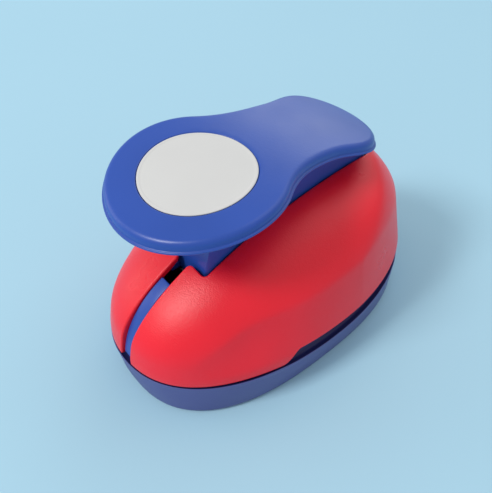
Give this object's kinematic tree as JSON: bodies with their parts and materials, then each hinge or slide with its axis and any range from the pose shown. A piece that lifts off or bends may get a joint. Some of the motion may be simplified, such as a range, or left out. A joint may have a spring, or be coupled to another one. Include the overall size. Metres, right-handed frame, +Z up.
{
  "type": "lever punch",
  "caption": "Palm-pressed craft punch with an oval housing, a figure-of-eight lever, a round cutter and a rear paper slot.",
  "frame": {"origin": "middle of the footprint, on the table", "axes": "+Z up, +Y along the length towards the paper slot at the rear, the round head of the lever towards -Y"},
  "size_m": [0.0808, 0.1249, 0.0809],
  "materials": {
    "blue_base": "satin moulded plastic",
    "red_cover": "satin moulded plastic with a fine grain",
    "blue_lever": "satin moulded plastic",
    "label": "matte card",
    "black_carrier": "matte nylon",
    "plate_steel": "ground steel",
    "screw_steel": "zinc-plated steel",
    "dark_steel": "blackened spring steel"
  },
  "bodies": {
    "frame": {"base_shell": "blue_base", "cover_shell": "red_cover", "die_plate": "plate_steel", "gap_spacer": "plate_steel", "guide_plate": "plate_steel", "frame_screws": "screw_steel", "cover_screws": "screw_steel", "rear_cover_screws": "screw_steel", "guide_posts": "screw_steel", "post_clips": "dark_steel", "return_springs": "screw_steel", "pivot_bracket": "plate_steel", "bracket_screws": "screw_steel", "pivot_pin": "screw_steel", "pivot_clips": "dark_steel"},
    "lever": {"lever_top": "blue_lever", "label_disc": "label", "lever_arm": "blue_lever", "lever_screws": "screw_steel", "press_roller": "screw_steel"},
    "punch": {"cutter": "plate_steel", "punch_carrier": "black_carrier", "carrier_screws": "screw_steel"},
    "lock": {"lock_slider": "blue_lever"}
  },
  "joints": [
    {"name": "lever_pivot", "type": "hinge", "parent": "frame", "child": "lever", "pos_m": [0, 0.036, 0.04], "axis": [1, 0, 0], "range_deg": [0, 11], "stiffness_Nm_per_rad": 2, "springref_deg": -11.46},
    {"name": "punch_slide", "type": "slide", "parent": "frame", "child": "punch", "axis": [0, 0, -1], "range_m": [0, 0.0047], "deforming": ["return_springs"]},
    {"name": "lock_slide", "type": "hinge", "parent": "frame", "child": "lock", "pos_m": [0, -0.028, 0.013], "axis": [-1, 0, 0], "range_deg": [0, 10]}
  ],
  "couplings": [
    {"joint": "punch_slide", "follows": "lever_pivot", "m_per_rad": 0.02387}
  ]
}
